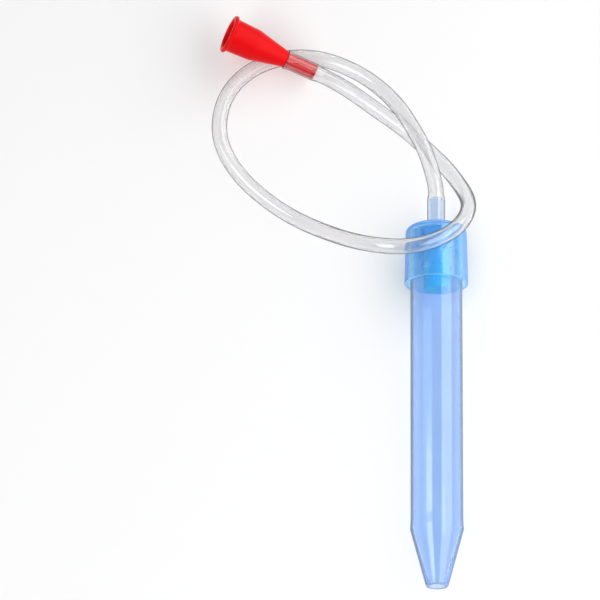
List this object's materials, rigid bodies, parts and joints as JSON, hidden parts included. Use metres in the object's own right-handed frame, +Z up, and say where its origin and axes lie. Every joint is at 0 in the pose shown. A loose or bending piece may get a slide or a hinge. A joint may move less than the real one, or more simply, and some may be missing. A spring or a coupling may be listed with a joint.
{
  "type": "nasal aspirator",
  "caption": "Mouth-suction nasal aspirator: clear blue nozzle tube with tapered tip, push-on cap with foam filter plug, soft clear hose and red mouthpiece.",
  "frame": {"origin": "on the supporting surface, below the middle of the nozzle tube and cap", "axes": "+Z up, +Y from the nozzle's tip towards the cap, +X to the right of it"},
  "size_m": [0.1026, 0.2308, 0.0331],
  "materials": {
    "nozzle_plastic": "clear pale blue polypropylene, satin gloss",
    "cap_plastic": "translucent sky blue polyethylene, satin gloss",
    "filter_foam": "open-cell blue foam",
    "hose_pvc": "soft clear PVC",
    "mouth_plastic": "red polyethylene, slightly translucent"
  },
  "bodies": {
    "hose": {"hose": "hose_pvc", "hose_cap_end": "hose_pvc", "hose_mouth_end": "hose_pvc"},
    "cap": {"cap": "cap_plastic"},
    "nozzle": {"nozzle_tube": "nozzle_plastic"},
    "filter": {"filter_plug": "filter_foam"},
    "mouthpiece": {"mouthpiece": "mouth_plastic"}
  },
  "joints": [
    {"name": "cap_swivel", "type": "hinge", "parent": "hose", "child": "cap", "pos_m": [0, 0.072, 0.01291], "axis": [0, 0.9998, 0.0213], "continuous": true},
    {"name": "tube_pull", "type": "slide", "parent": "cap", "child": "nozzle", "axis": [0, -0.9998, -0.0213], "range_m": [0, 0.03]},
    {"name": "filter_pull", "type": "slide", "parent": "cap", "child": "filter", "axis": [0, -0.9998, -0.0213], "range_m": [0, 0.024]},
    {"name": "mouthpiece_pull", "type": "slide", "parent": "hose", "child": "mouthpiece", "axis": [-0.9019, 0.3018, 0.309], "range_m": [0, 0.016]}
  ]
}
